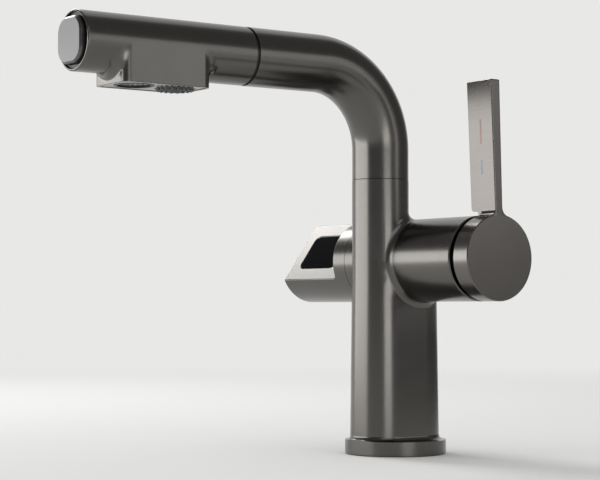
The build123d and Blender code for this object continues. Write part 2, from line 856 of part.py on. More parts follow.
# The head shell: a straight tube with the outlet boss blended in below it.
with BuildPart() as head_shell:
    round_bar(spout_plane, head_radius, head_start, head_end)
    boss_block(0, boss_bottom_z, spout_z)
    boss_join = (
        head_shell.faces()
        .filter_by(GeomType.CYLINDER)
        .filter_by(lambda face: abs(face.radius - head_radius) < slip_gap)
        .edges()
        .filter_by(lambda edge: boss_bottom_z < edge.center().Z < spout_z - slip_gap)
    )
    fillet(boss_join, boss_fillet)
    tip_edge = head_shell.faces().sort_by(Axis.Y)[0].edges()
    fillet(tip_edge, tip_round)
    round_bar(
        spout_plane, head_radius - head_wall, head_start + head_rear_wall, tip_start,
        mode=Mode.SUBTRACT,
    )
    round_bar(spout_plane, head_radius - tip_wall, tip_start, head_end, mode=Mode.SUBTRACT)
    round_bar(
        spout_plane, shank_radius + press_gap, head_start, head_start + head_rear_wall,
        mode=Mode.SUBTRACT,
    )
    boss_block(boss_wall, boss_bottom_z, spout_z, mode=Mode.SUBTRACT)
save(head_shell, "head_shell")

# The diverter block fills the head. Water enters by the shank, passes above the spool, and leaves
# by the outlet that the spool has opened.
aerator_top_z = boss_bottom_z + aerator_height
shower_chamber_z = plate_top_z + mat_thickness + shower_chamber
with BuildPart() as diverter_block:
    round_bar(spout_plane, head_radius - head_wall - slip_gap, block_start, tip_start - slip_gap)
    boss_block(block_inset, plate_top_z, spout_z)
    round_bar(spout_plane, shank_radius, shank_start, block_start)
    round_bar(spout_plane, hose_spigot_radius, hose_spigot_start, shank_start)
    round_bar(
        spout_plane, valve_radius, hose_spigot_start, shank_start + valve_depth, mode=Mode.SUBTRACT
    )
    round_bar(
        spout_plane, feed_radius, shank_start + valve_depth / 2, feed_reach + feed_radius,
        (0, feed_level), Mode.SUBTRACT,
    )
    round_bar(
        Plane.XY, channel_radius, spout_z, spout_z + feed_level, (0, -feed_reach), Mode.SUBTRACT
    )
    spool_back = shower_reach - spool_land / 2 - button_travel - spool_clearance
    round_bar(spout_plane, spool_bore, spool_back, tip_start, mode=Mode.SUBTRACT)
    for place in (stream_place, shower_place):
        round_bar(Plane.XY, channel_radius, plate_top_z, spout_z, place, Mode.SUBTRACT)
    round_bar(
        Plane.XY, stream_radius + press_gap, plate_top_z, aerator_top_z + press_gap, stream_place,
        Mode.SUBTRACT,
    )
    round_bar(
        Plane.XY, shower_radius + press_gap, plate_top_z, shower_chamber_z, shower_place,
        Mode.SUBTRACT,
    )
save(diverter_block, "diverter_block")

# Valve and hose connection, in order from the head to the hose.
with BuildPart() as check_valve:
    round_tube(
        spout_plane, valve_radius - press_gap, valve_bore,
        shank_start + valve_inset, shank_start + valve_depth - valve_inset,
    )
save(check_valve, "check_valve")

washer_start = hose_spigot_start - hose_washer_thickness
with BuildPart() as hose_washer:
    round_tube(
        spout_plane, hose_spigot_radius - slip_gap, hose_bore + slip_gap,
        washer_start + press_gap, hose_spigot_start - press_gap,
    )
save(hose_washer, "hose_washer")

with BuildPart() as hose_nut:
    with BuildSketch(spout_plane.offset(hose_nut_start)):
        RegularPolygon(hose_nut_flats / 2, socket_sides, major_radius=False)
    extrude(amount=shank_start - loose_gap - hose_nut_start)
    round_bar(spout_plane, hose_radius + press_gap, hose_nut_start, washer_start, mode=Mode.SUBTRACT)
    round_bar(
        spout_plane, hose_spigot_radius + press_gap, washer_start, shank_start, mode=Mode.SUBTRACT
    )
save(hose_nut, "hose_nut")

# The hose's lead runs from the end of the elbow to the nut and draws out with the head.
with BuildPart() as hose_lead:
    round_tube(
        spout_plane, hose_radius, hose_bore, bend_end + slip_gap, washer_start - press_gap
    )
save(hose_lead, "hose_lead")

# Outlets

with BuildPart() as outlet_plate:
    boss_block(block_inset, plate_low_z, plate_top_z)
    round_bar(
        Plane.XY, stream_radius + press_gap, plate_low_z, plate_top_z, stream_place, Mode.SUBTRACT
    )
    round_bar(
        Plane.XY, shower_radius + press_gap, plate_low_z, plate_top_z, shower_place, Mode.SUBTRACT
    )
save(outlet_plate, "outlet_plate")

with BuildPart() as aerator_case:
    round_bar(Plane.XY, stream_radius, boss_bottom_z, aerator_top_z, stream_place)
    round_bar(
        Plane.XY, stream_radius - aerator_wall, boss_bottom_z, aerator_top_z - aerator_wall,
        stream_place, Mode.SUBTRACT,
    )
    round_bar(Plane.XY, 2 * channel_radius, boss_bottom_z, aerator_top_z, stream_place, Mode.SUBTRACT)
save(aerator_case, "aerator_case")

with BuildPart() as aerator_mesh:
    mesh_radius = stream_radius - aerator_wall - press_gap
    round_bar(
        Plane.XY, mesh_radius, boss_bottom_z + mesh_thickness, boss_bottom_z + 2 * mesh_thickness,
        stream_place,
    )
    with BuildSketch(Plane.XY.offset(boss_bottom_z + mesh_thickness)):
        with Locations(stream_place):
            with HexLocations(mesh_pitch / 2, mesh_count, mesh_count):
                Circle(mesh_hole)
    extrude(amount=mesh_thickness, mode=Mode.SUBTRACT)
save(aerator_mesh, "aerator_mesh")

# The soft mat carries rings of small nubs, each one jet of the shower. Each ring has one step more
# nubs than the ring inside it.
with BuildPart() as nozzle_mat:
    round_bar(Plane.XY, shower_radius, plate_low_z, plate_low_z + mat_thickness, shower_place)
    with BuildSketch(Plane.XY.offset(plate_low_z)):
        with Locations(shower_place):
            Circle(nub_radius)
            for ring in range(1, nub_rings + 1):
                with PolarLocations(ring * nub_pitch, nub_step * ring):
                    Circle(nub_radius)
    extrude(amount=-nub_height, taper=nub_taper)
save(nozzle_mat, "nozzle_mat")

# Push button and diverter spool

shower_land = shower_reach + spool_land / 2
stream_land = stream_reach + channel_radius + slip_gap
button_back = button_face_reach - button_face
rod_end = button_back + button_face / 2

with BuildPart() as diverter_spool:
    round_bar(spout_plane, spool_rod_radius, shower_land - spool_land, rod_end)
    for start, length in ((shower_land - spool_land, spool_land), (stream_land, spool_front_land)):
        round_bar(spout_plane, spool_radius, start, start + length)
        middle = start + length / 2
        round_tube(
            spout_plane, spool_radius, spool_radius - spool_seal_depth,
            middle - spool_seal_width / 2, middle + spool_seal_width / 2, mode=Mode.SUBTRACT,
        )
save(diverter_spool, "diverter_spool")

with BuildPart() as spool_seals:
    for middle in (shower_land - spool_land / 2, stream_land + spool_front_land / 2):
        round_tube(
            spout_plane, spool_radius, spool_radius - spool_seal_depth,
            middle - spool_seal_width / 2, middle + spool_seal_width / 2,
        )
save(spool_seals, "spool_seals")

# The button is a cup with rounded corners. Its round flange behind the bezel keeps it in.
bezel_end = head_end - bezel_recess
bezel_start = bezel_end - bezel_depth
flange_start = bezel_start - slip_gap - button_flange
with BuildPart() as spray_button:
    rounded_block(
        spout_plane, button_side, button_side, button_corner, flange_start, button_face_reach
    )
    button_front = spray_button.faces().sort_by(Axis.Y)[0].edges()
    chamfer(button_front, button_bevel)
    round_bar(spout_plane, button_flange_radius, flange_start, flange_start + button_flange)
    rounded_block(
        spout_plane, button_side - 2 * button_wall, button_side - 2 * button_wall,
        button_corner - button_wall, flange_start, button_back, mode=Mode.SUBTRACT,
    )
    round_bar(spout_plane, spool_rod_radius + press_gap, button_back, rod_end, mode=Mode.SUBTRACT)
save(spray_button, "spray_button")

with BuildPart() as button_bezel:
    round_bar(spout_plane, head_radius - tip_wall - press_gap, bezel_start, bezel_end)
    rounded_block(
        spout_plane, button_side + 2 * loose_gap, button_side + 2 * loose_gap,
        button_corner + loose_gap, bezel_start, bezel_end, mode=Mode.SUBTRACT,
    )
save(button_bezel, "button_bezel")

with BuildPart() as button_spring:
    spring_start = tip_start + spring_wire
    spring_height = button_back - spring_start - spring_wire - slip_gap
    with BuildLine():
        coil = Helix(
            spring_height / spring_turns, spring_height, spring_radius,
            center=(0, -spring_start, spout_z), direction=(0, -1, 0),
        )
    with BuildSketch(Plane(origin=coil @ 0, z_dir=coil % 0)):
        Circle(spring_wire)
    sweep(is_frenet=True)
save(button_spring, "button_spring")

# Display unit

window_x = window_left + window_width / 2
seal_groove_x = spigot_right - o_ring_inset - o_ring_width

# The display housing: a round barrel end with a flat cut over most of its length.
with BuildPart() as display_housing:
    round_bar(barrel_plane, barrel_radius, display_left, housing_right)
    flat_width = display_shoulder - display_left + overcut
    block(
        face_plane, flat_width, 4 * barrel_radius, 0, barrel_radius,
        (display_shoulder - flat_width / 2, 0), Mode.SUBTRACT,
    )
    flat_edges = display_housing.edges().filter_by(GeomType.LINE)
    fillet(flat_edges.sort_by(Axis.X)[-1], shoulder_fillet)
    flat_edges = display_housing.edges().filter_by(GeomType.LINE).filter_by(Axis.X)
    end_edges = display_housing.edges().group_by(Axis.X)[0]
    fillet(flat_edges + end_edges, display_edge)
    round_bar(barrel_plane, spigot_outer, housing_right, spigot_right)
    round_tube(
        barrel_plane, spigot_outer, spigot_outer - o_ring_depth,
        seal_groove_x, seal_groove_x + o_ring_width, mode=Mode.SUBTRACT,
    )
    cavity_radius = barrel_radius - display_wall
    cavity_left = display_left + display_end_wall
    shoulder_left = display_shoulder + display_wall
    with BuildSketch(barrel_plane.offset(cavity_left)):
        Circle(cavity_radius)
        with Locations(Rotation(0, 0, 180 - display_angle)):
            with Locations((cavity_face + barrel_radius, 0)):
                Rectangle(2 * barrel_radius, 4 * barrel_radius, mode=Mode.SUBTRACT)
    extrude(amount=barrel_left - display_wall - cavity_left, mode=Mode.SUBTRACT)
    round_bar(
        barrel_plane, cavity_radius, shoulder_left, barrel_left - display_wall, mode=Mode.SUBTRACT
    )
    round_bar(
        barrel_plane, spigot_outer - spigot_wall, shoulder_left, spigot_right,
        mode=Mode.SUBTRACT,
    )
    rounded_block(
        face_plane, window_width, window_height, window_corner,
        -display_face_wall - slip_gap, slip_gap, (window_x, 0), Mode.SUBTRACT,
    )
    flat_face = display_housing.faces().filter_by(face_plane).sort_by(SortBy.AREA)[-1]
    chamfer(flat_face.inner_wires()[0].edges(), window_bevel)
    round_bar(
        Plane.XY, lock_screw_radius + press_gap, barrel_z - spigot_outer - overcut,
        barrel_z - spigot_outer + spigot_wall / 2, (lock_screw_x, barrel_y), Mode.SUBTRACT,
    )
save(display_housing, "display_housing")

with BuildPart() as display_o_ring:
    round_tube(
        barrel_plane, spigot_outer, spigot_outer - o_ring_depth + press_gap,
        seal_groove_x + press_gap, seal_groove_x + o_ring_width - press_gap,
    )
save(display_o_ring, "display_o_ring")

# A grub screw from below locks the display's spigot in the barrel.
lock_screw_low = barrel_z - barrel_radius + loose_gap
with BuildPart() as housing_screw:
    round_bar(
        Plane.XY, lock_screw_radius, lock_screw_low,
        barrel_z - spigot_outer + spigot_wall / 2 - press_gap, (lock_screw_x, barrel_y),
    )
    with BuildSketch(Plane.XY.offset(lock_screw_low)):
        with Locations((lock_screw_x, barrel_y)):
            RegularPolygon(socket_radius, socket_sides)
    extrude(amount=socket_radius, mode=Mode.SUBTRACT)
save(housing_screw, "housing_screw")

# Behind the window lie the lens, its gasket, the display module and the board, in that order.
gasket_back = -display_face_wall - gasket_thickness
lens_back = gasket_back - lens_flange
module_back = lens_back - slip_gap - module_thickness
board_back = module_back - board_thickness
lens_width = window_width + 2 * lens_lip
lens_height = window_height + 2 * lens_lip
window_place = (window_x, 0)

with BuildPart() as display_gasket:
    with BuildSketch(face_plane.offset(gasket_back)):
        with Locations(window_place):
            RectangleRounded(lens_width, lens_height, window_corner)
            RectangleRounded(window_width, window_height, window_corner, mode=Mode.SUBTRACT)
    extrude(amount=gasket_thickness)
save(display_gasket, "display_gasket")

with BuildPart() as display_lens:
    rounded_block(
        face_plane, window_width - 2 * press_gap, window_height - 2 * press_gap,
        window_corner - press_gap, gasket_back, -window_recess, window_place,
    )
    rounded_block(
        face_plane, lens_width, lens_height, window_corner, lens_back, gasket_back, window_place
    )
save(display_lens, "display_lens")

with BuildPart() as display_module:
    block(
        face_plane, window_width - lens_lip, window_height - lens_lip,
        module_back, lens_back - slip_gap, window_place,
    )
save(display_module, "display_module")

with BuildPart() as display_board:
    block(face_plane, board_width, board_height, board_back, module_back, window_place)
save(display_board, "display_board")

plug_x = window_x + board_width / 2 - plug_length / 2
with BuildPart() as board_plug:
    block(face_plane, plug_length, plug_width, board_back - plug_height, board_back, (plug_x, 0))
save(board_plug, "board_plug")

# Two short leads join the plug to the generator's cover.
lead_height = board_back - lead_inset
with BuildPart() as display_leads:
    for side in (-1, 1):
        place = face_plane.from_local_coords((0, side * lead_spacing / 2, lead_height))
        local = (place.Y - barrel_y, place.Z - barrel_z)
        round_bar(barrel_plane, lead_radius, plug_x + plug_length / 2, cover_left, local)
save(display_leads, "display_leads")

# Generator

# The case has the wheel's wet chamber on its right, a thin can round the magnet in its middle, and
# a dry pocket for the coil on its left.
with BuildPart() as generator_case:
    round_bar(barrel_plane, generator_radius, case_left, generator_right)
    round_bar(
        barrel_plane, generator_radius - chamber_wall, chamber_left, generator_right,
        mode=Mode.SUBTRACT,
    )
    round_bar(barrel_plane, can_radius, can_left, chamber_left, mode=Mode.SUBTRACT)
    round_bar(
        barrel_plane, bush_radius + press_gap, can_left - bush_length, can_left, mode=Mode.SUBTRACT
    )
    round_tube(
        barrel_plane, coil_outer_radius + slip_gap, can_radius + can_wall,
        case_left, chamber_left - generator_wall, mode=Mode.SUBTRACT,
    )
save(generator_case, "generator_case")

with BuildPart() as generator_cover:
    round_bar(barrel_plane, generator_radius, cover_left, case_left)
save(generator_cover, "generator_cover")

with BuildPart() as stator_coil:
    round_tube(
        barrel_plane, coil_outer_radius, can_radius + can_wall + slip_gap,
        case_left + slip_gap, chamber_left - generator_wall - slip_gap,
    )
save(stator_coil, "stator_coil")

with BuildPart() as shaft_bushes:
    for start in (can_left - bush_length, waterway_left):
        round_tube(
            barrel_plane, bush_radius, shaft_radius + running_gap, start, start + bush_length
        )
save(shaft_bushes, "shaft_bushes")

with BuildPart() as flow_seal:
    round_tube(
        barrel_plane, generator_radius, generator_radius - chamber_wall, generator_right, waterway_left
    )
save(flow_seal, "flow_seal")

wheel_left = chamber_left + generator_wall / 2
with BuildPart() as turbine_wheel:
    with BuildSketch(barrel_plane.offset(wheel_left)):
        Circle(wheel_hub)
        with PolarLocations((wheel_hub + wheel_radius) / 2, blade_count):
            Rectangle(wheel_radius - wheel_hub + blade_thickness / 2, blade_thickness)
    extrude(amount=wheel_width)
    round_bar(barrel_plane, wheel_radius, wheel_left, wheel_left + blade_thickness)
    round_bar(barrel_plane, shaft_radius, wheel_left, wheel_left + wheel_width, mode=Mode.SUBTRACT)
save(turbine_wheel, "turbine_wheel")

with BuildPart() as turbine_shaft:
    round_bar(
        barrel_plane, shaft_radius, can_left - bush_length + slip_gap,
        waterway_left + bush_length - slip_gap,
    )
save(turbine_shaft, "turbine_shaft")

with BuildPart() as rotor_magnet:
    round_tube(
        barrel_plane, can_radius - magnet_gap, shaft_radius, can_left + loose_gap,
        wheel_left - loose_gap,
    )
save(rotor_magnet, "rotor_magnet")
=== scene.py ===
import json
import math

import bpy
import numpy as np
from mathutils import Matrix, Vector


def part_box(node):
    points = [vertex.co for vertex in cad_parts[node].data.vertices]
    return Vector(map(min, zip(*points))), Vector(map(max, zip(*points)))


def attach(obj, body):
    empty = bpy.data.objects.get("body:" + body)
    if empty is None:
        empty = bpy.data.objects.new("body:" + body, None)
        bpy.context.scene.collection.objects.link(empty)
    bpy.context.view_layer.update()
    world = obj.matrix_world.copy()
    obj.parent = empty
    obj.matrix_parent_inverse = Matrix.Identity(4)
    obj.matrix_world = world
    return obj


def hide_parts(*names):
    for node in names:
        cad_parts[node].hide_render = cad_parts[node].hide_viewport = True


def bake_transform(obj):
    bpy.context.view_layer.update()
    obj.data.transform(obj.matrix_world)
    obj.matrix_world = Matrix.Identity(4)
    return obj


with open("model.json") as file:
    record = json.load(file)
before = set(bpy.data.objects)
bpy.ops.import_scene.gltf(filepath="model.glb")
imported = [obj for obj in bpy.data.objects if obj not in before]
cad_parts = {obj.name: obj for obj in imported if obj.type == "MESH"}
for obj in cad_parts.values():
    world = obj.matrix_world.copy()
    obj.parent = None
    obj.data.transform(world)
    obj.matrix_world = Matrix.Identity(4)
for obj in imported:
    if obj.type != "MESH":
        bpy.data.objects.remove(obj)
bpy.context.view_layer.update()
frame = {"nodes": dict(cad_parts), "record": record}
nodes = frame["nodes"]

MM = 0.001

# Places and sizes of the solids, in metres.
joint_places = {joint["name"]: joint.get("pos_m") for joint in frame["record"]["behaviour"]["joints"]}
BARREL_Y, BARREL_Z = joint_places["temperature_turn"][1:]
COLUMN_Y = joint_places["spout_swivel"][1]
cap_low, cap_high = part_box("handle_cap")
BARREL_R = cap_high.y - BARREL_Y
SPOUT_Z = sum(corner.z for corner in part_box("hose_lead")) / 2
BEND_R = COLUMN_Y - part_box("hose_elbow")[0].y
head_low, head_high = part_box("head_shell")
HEAD_R = head_high.x

# Brush lines in millimetres. Real ones are about 0.1 mm wide and are drawn about four times as
# coarse, or they wouldn't show.
LINE_WIDTH, LINE_LENGTH = 0.42, 26.0

# Most of a noise texture lies between these.
NOISE_LOW, NOISE_HIGH = 0.25, 0.75

# A wave texture of this scale repeats once each unit.
WAVE_SCALE = 0.314

# The weave of the hose's cover: its waves round the hose and the length of one wave along it.
WEAVE_WAVES = 6.0
WEAVE_LENGTH = 5.2 * MM


# Small helpers


def linear(code):
    """Turn an sRGB hex colour into linear RGBA."""
    colour = []
    for start in (0, 2, 4):
        share = int(code[start:start + 2], 16) / 255
        colour.append(share / 12.92 if share <= 0.04045 else ((share + 0.055) / 1.055) ** 2.4)
    return (*colour, 1.0)


def add(tree, kind, inputs=None, **settings):
    """Add a node with its settings. An input is a value, or an output socket to link from."""
    node = tree.nodes.new(kind)
    for name, value in settings.items():
        setattr(node, name, value)
    for key, value in (inputs or {}).items():
        if isinstance(value, bpy.types.NodeSocket):
            tree.links.new(value, node.inputs[key])
        else:
            node.inputs[key].default_value = value
    return node


def new_material(name):
    """Start a material and give its tree, its shader and its Object coordinates."""
    material = bpy.data.materials.new(name)
    material.use_nodes = True
    tree = material.node_tree
    tree.nodes.clear()
    shader = add(tree, "ShaderNodeBsdfPrincipled")
    add(tree, "ShaderNodeOutputMaterial", {"Surface": shader.outputs["BSDF"]})
    return material, tree, shader, add(tree, "ShaderNodeTexCoord").outputs["Object"]


def stretched(tree, place, sizes_mm, detail=2.0):
    """Soft noise, mostly from 0 to 1, with spots of about the given millimetres along X, Y and Z."""
    scale = tuple(1 / (size * MM) for size in sizes_mm)
    unit = add(tree, "ShaderNodeVectorMath", {0: place, 1: scale}, operation="MULTIPLY").outputs[0]
    spots = {"Vector": unit, "Scale": 1.0, "Detail": detail}
    noise = add(tree, "ShaderNodeTexNoise", spots).outputs["Fac"]
    full = {"Value": noise, "From Min": NOISE_LOW, "From Max": NOISE_HIGH}
    return add(tree, "ShaderNodeMapRange", full, clamp=False).outputs["Result"]


def shaded(code, swing):
    """A colour a little darker and a little lighter than the hex colour."""
    colour = linear(code)[:3]
    return [(*(min(1.0, part * times) for part in colour), 1.0) for times in (1 - swing, 1 + swing)]


def finish(tree, shader, ends, shade, rough, rough_by, height, depth_mm):
    """Join patterns from 0 to 1 to a shader. One mixes the two end colours, one moves the roughness
    between two values, and one raises the surface by a depth."""
    # The colours of a Mix node are its inputs 6 and 7 and its output 2.
    mix = add(tree, "ShaderNodeMix", {0: shade, 6: ends[0], 7: ends[1]}, data_type="RGBA")
    tree.links.new(mix.outputs[2], shader.inputs["Base Color"])
    span = {"Value": rough_by, "To Min": rough[0], "To Max": rough[1]}
    matt = add(tree, "ShaderNodeMapRange", span).outputs["Result"]
    tree.links.new(matt, shader.inputs["Roughness"])
    raised = add(tree, "ShaderNodeBump", {"Height": height, "Distance": depth_mm * MM})
    tree.links.new(raised.outputs["Normal"], shader.inputs["Normal"])


def dress(material, *names):
    """Give CAD nodes a material."""
    for name in names:
        mesh = nodes[name].data
        mesh.materials.clear()
        mesh.materials.append(material)


# Brushed finishes


def round_x(tree, place):
    """Brush lines round the X direction."""
    return stretched(tree, place, (LINE_WIDTH, LINE_LENGTH, LINE_LENGTH), detail=1.0)


def round_y(tree, place):
    """Brush lines round the Y direction."""
    return stretched(tree, place, (LINE_LENGTH, LINE_WIDTH, LINE_LENGTH), detail=1.0)


def round_z(tree, place):
    """Brush lines round the Z direction."""
    return stretched(tree, place, (LINE_LENGTH, LINE_LENGTH, LINE_WIDTH), detail=1.0)


def from_barrel(tree, place):
    """The distance from the barrel's axis."""
    offset = add(tree, "ShaderNodeVectorMath", {0: place, 1: (0.0, BARREL_Y, BARREL_Z)},
              operation="SUBTRACT").outputs[0]
    flat = add(tree, "ShaderNodeVectorMath", {0: offset, 1: (0.0, 1.0, 1.0)}, operation="MULTIPLY")
    return add(tree, "ShaderNodeVectorMath", {0: flat.outputs[0]}, operation="LENGTH").outputs["Value"]


def circles_x(tree, place):
    """Circles about the barrel's axis on faces across it, and lines round it on its side: a place
    is its X, its distance from the axis and its height."""
    parts = add(tree, "ShaderNodeSeparateXYZ", {0: place}).outputs
    turned_place = add(tree, "ShaderNodeCombineXYZ",
                       {0: parts["X"], 1: from_barrel(tree, place), 2: parts["Z"]}).outputs[0]
    return stretched(tree, turned_place, (LINE_WIDTH, LINE_WIDTH, LINE_LENGTH), detail=1.0)


def round_body(tree, place):
    """Lines round the barrel within its radius of its axis, and round the column elsewhere."""
    margin = 0.15 * MM
    outside = add(tree, "ShaderNodeMath", {0: from_barrel(tree, place), 1: BARREL_R + margin},
                  operation="GREATER_THAN").outputs[0]
    lines = {0: outside, 2: round_x(tree, place), 3: round_z(tree, place)}
    return add(tree, "ShaderNodeMix", lines, data_type="FLOAT").outputs[0]


def round_spout(tree, place):
    """Lines round the bent spout. With y and z measured from the bend's centre, the place along the
    spout is min(z, 0) + R * angle - min(y, 0), where the angle and the distance out are those of
    (max(y, 0), max(z, 0))."""
    offset = add(tree, "ShaderNodeVectorMath", {0: place, 1: (0.0, COLUMN_Y - BEND_R, SPOUT_Z - BEND_R)},
              operation="SUBTRACT").outputs[0]
    # The limits of 1 m leave X as it is.
    near = add(tree, "ShaderNodeVectorMath", {0: offset, 1: (-1.0, 0.0, 0.0)},
               operation="MAXIMUM").outputs[0]
    far = add(tree, "ShaderNodeVectorMath", {0: offset, 1: (1.0, 0.0, 0.0)},
              operation="MINIMUM").outputs[0]
    near_parts = add(tree, "ShaderNodeSeparateXYZ", {0: near}).outputs
    far_parts = add(tree, "ShaderNodeSeparateXYZ", {0: far}).outputs
    angle = add(tree, "ShaderNodeMath", {0: near_parts["Z"], 1: near_parts["Y"]},
                operation="ARCTAN2").outputs[0]
    along = add(tree, "ShaderNodeMath", {0: angle, 1: BEND_R, 2: far_parts["Z"]},
                operation="MULTIPLY_ADD").outputs[0]
    along = add(tree, "ShaderNodeMath", {0: along, 1: far_parts["Y"]}, operation="SUBTRACT").outputs[0]
    away = add(tree, "ShaderNodeVectorMath", {0: near, 1: (0.0, 1.0, 1.0)}, operation="MULTIPLY")
    away = add(tree, "ShaderNodeVectorMath", {0: away.outputs[0]}, operation="LENGTH").outputs["Value"]
    laid = add(tree, "ShaderNodeCombineXYZ", {0: near_parts["X"], 1: away, 2: along}).outputs[0]
    return stretched(tree, laid, (LINE_LENGTH, LINE_LENGTH, LINE_WIDTH), detail=1.0)


def brushed(name, code, roughness, lines, depth_mm=0.0016):
    """A thin coloured metal coating over brushed brass. The brush leaves fine lines that streak the
    highlight a little, the coating is a dark, slightly warm grey, and wide soft patches of wear
    keep it from looking painted."""
    colour_swing, rough_swing, wear_mm = 0.03, 0.012, 14.0
    material, tree, shader, place = new_material(name)
    streak = lines(tree, place)
    wear = stretched(tree, place, (wear_mm, wear_mm, wear_mm))
    rough = (roughness - rough_swing, roughness + rough_swing)
    finish(tree, shader, ends=shaded(code, colour_swing), shade=streak, rough=rough, rough_by=wear,
           height=streak, depth_mm=depth_mm)
    shader.inputs["Metallic"].default_value = 1.0
    return material


GUNMETAL = "656360"

body_metal = brushed("gunmetal_coating_body", GUNMETAL, 0.24, round_body)
spout_metal = brushed("gunmetal_coating_spout", GUNMETAL, 0.24, round_spout)
head_metal = brushed("gunmetal_coating_head", GUNMETAL, 0.24, round_y)
display_metal = brushed("gunmetal_coating_display", GUNMETAL, 0.24, round_x)
# The cap has the body's gunmetal coating. Its lighter colour is painted light, which brightens its end
# face.
cap_metal_painted_lighter = brushed("gunmetal_coating_cap", "6e6b68", 0.24, circles_x)
lever_metal = brushed("gunmetal_coating_lever", "6a6764", 0.27, round_z)
button_metal = brushed("satin_nickel_button", "656465", 0.34, round_z, depth_mm=0.001)

dress(body_metal, "body_shell")
dress(spout_metal, "spout_tube")
dress(head_metal, "head_shell", "outlet_plate")
dress(display_metal, "display_housing")
dress(cap_metal_painted_lighter, "handle_cap")
dress(lever_metal, "lever_bar")
dress(button_metal, "spray_button")


# Plain finishes


def moulded(name, code, roughness, grain_mm=0.6, depth_mm=0.004, **sockets):
    """Moulded plastic or rubber: a spark-eroded mould leaves a fine matt grain, which breaks up the
    shine, and the colour drifts a little over centimetres."""
    colour_swing, rough_swing, drift_mm = 0.08, 0.05, 12.0
    material, tree, shader, place = new_material(name)
    grain = stretched(tree, place, (grain_mm, grain_mm, grain_mm), detail=3.0)
    drift = stretched(tree, place, (drift_mm, drift_mm, drift_mm))
    rough = (roughness - rough_swing, roughness + rough_swing)
    finish(tree, shader, ends=shaded(code, colour_swing), shade=drift, rough=rough, rough_by=grain,
           height=grain, depth_mm=depth_mm)
    for key, value in sockets.items():
        shader.inputs[key.replace("_", " ")].default_value = value
    return material


def turned(name, code, roughness, axis="x", pitch_mm=0.35, depth_mm=0.003):
    """Turned or drawn metal: the tool leaves even rings along the axis, and handling leaves faint
    stains in the shine."""
    colour_swing, smoother, rougher, stain_mm = 0.11, 0.05, 0.06, 6.0
    material, tree, shader, place = new_material(name)
    unit = add(tree, "ShaderNodeVectorMath", {0: place, "Scale": 1 / (pitch_mm * MM)},
               operation="SCALE").outputs[0]
    rings = add(tree, "ShaderNodeTexWave", {"Vector": unit, "Scale": WAVE_SCALE},
                bands_direction=axis.upper()).outputs["Fac"]
    stain = stretched(tree, place, (stain_mm, stain_mm, stain_mm), detail=4.0)
    rough = (roughness - smoother, roughness + rougher)
    finish(tree, shader, ends=shaded(code, colour_swing), shade=stain, rough=rough, rough_by=stain,
           height=rings, depth_mm=depth_mm)
    shader.inputs["Metallic"].default_value = 1.0
    return material


def braided(name, code, gap):
    """Woven nylon over a hose along the Y axis. Two sets of strands wind round it, left and right,
    with height |sin(n * angle + k * y)| each, and cross in diamonds. A wave has two strands. The
    gaps between them are darker than the strands."""
    rough, depth_mm = (0.5, 0.6), 0.2
    material, tree, shader, place = new_material(name)
    parts = add(tree, "ShaderNodeSeparateXYZ", {0: place}).outputs
    across = add(tree, "ShaderNodeMath", {0: parts["Z"], 1: SPOUT_Z}, operation="SUBTRACT").outputs[0]
    angle = add(tree, "ShaderNodeMath", {0: across, 1: parts["X"]}, operation="ARCTAN2").outputs[0]
    turns = add(tree, "ShaderNodeMath", {0: angle, 1: WEAVE_WAVES}, operation="MULTIPLY").outputs[0]
    strands = []
    for sign in (1, -1):
        phase = {0: parts["Y"], 1: sign * 2 * math.pi / WEAVE_LENGTH, 2: turns}
        wave = add(tree, "ShaderNodeMath", phase, operation="MULTIPLY_ADD").outputs[0]
        wave = add(tree, "ShaderNodeMath", {0: wave}, operation="SINE").outputs[0]
        strands.append(add(tree, "ShaderNodeMath", {0: wave}, operation="ABSOLUTE").outputs[0])
    weave = add(tree, "ShaderNodeMath", {0: strands[0], 1: strands[1]}, operation="MAXIMUM").outputs[0]
    finish(tree, shader, ends=(linear(gap), linear(code)), shade=weave, rough=rough, rough_by=weave,
           height=weave, depth_mm=depth_mm)
    return material


black_plastic = moulded("black_acetal_moulding", "101112", 0.42)
seam_plastic = moulded("black_glossy_ring", "0b0b0c", 0.30, grain_mm=0.5, depth_mm=0.002)
white_plastic = moulded("white_acetal_moulding", "e6e4de", 0.40)
rubber = moulded("black_epdm_rubber", "141414", 0.72, grain_mm=0.4, depth_mm=0.006)
silicone = moulded("dark_grey_silicone", "4c4d4f", 0.50, grain_mm=0.5, depth_mm=0.003)
brass = turned("turned_brass", "b8964f", 0.30)
steel = turned("turned_stainless_steel", "a3a3a1", 0.32)
steel_wire = turned("drawn_spring_steel", "8d8e8e", 0.30, axis="y", pitch_mm=0.8)
ceramic = moulded("lapped_alumina_ceramic", "eeece6", 0.22, grain_mm=0.3, depth_mm=0.001)
board_green = moulded("solder_mask_green", "1e5a38", 0.32, grain_mm=1.5, depth_mm=0.002)
magnet_grey = moulded("sintered_ferrite_magnet", "3a3a3c", 0.55, grain_mm=0.4)
copper = turned("enamelled_copper_winding", "a8582c", 0.28, pitch_mm=0.5, depth_mm=0.03)
hose_cover = braided("woven_nylon_hose_cover", "6d6e70", "2a2b2c")

# The window's coating leaves almost no reflection, so its IOR is low.
window_black = moulded("coated_black_window", "07080a", 0.22, grain_mm=1.2, depth_mm=0.0005, IOR=1.02)

# The marks are thin tinted lacquer in grooves, so the metal shines through in both.
lacquer = {"grain_mm": 0.8, "depth_mm": 0.0005, "Metallic": 1.0}
red_lacquer = moulded("red_tinted_lacquer", "6c5856", 0.28, **lacquer)
blue_lacquer = moulded("blue_tinted_lacquer", "5a626c", 0.28, **lacquer)

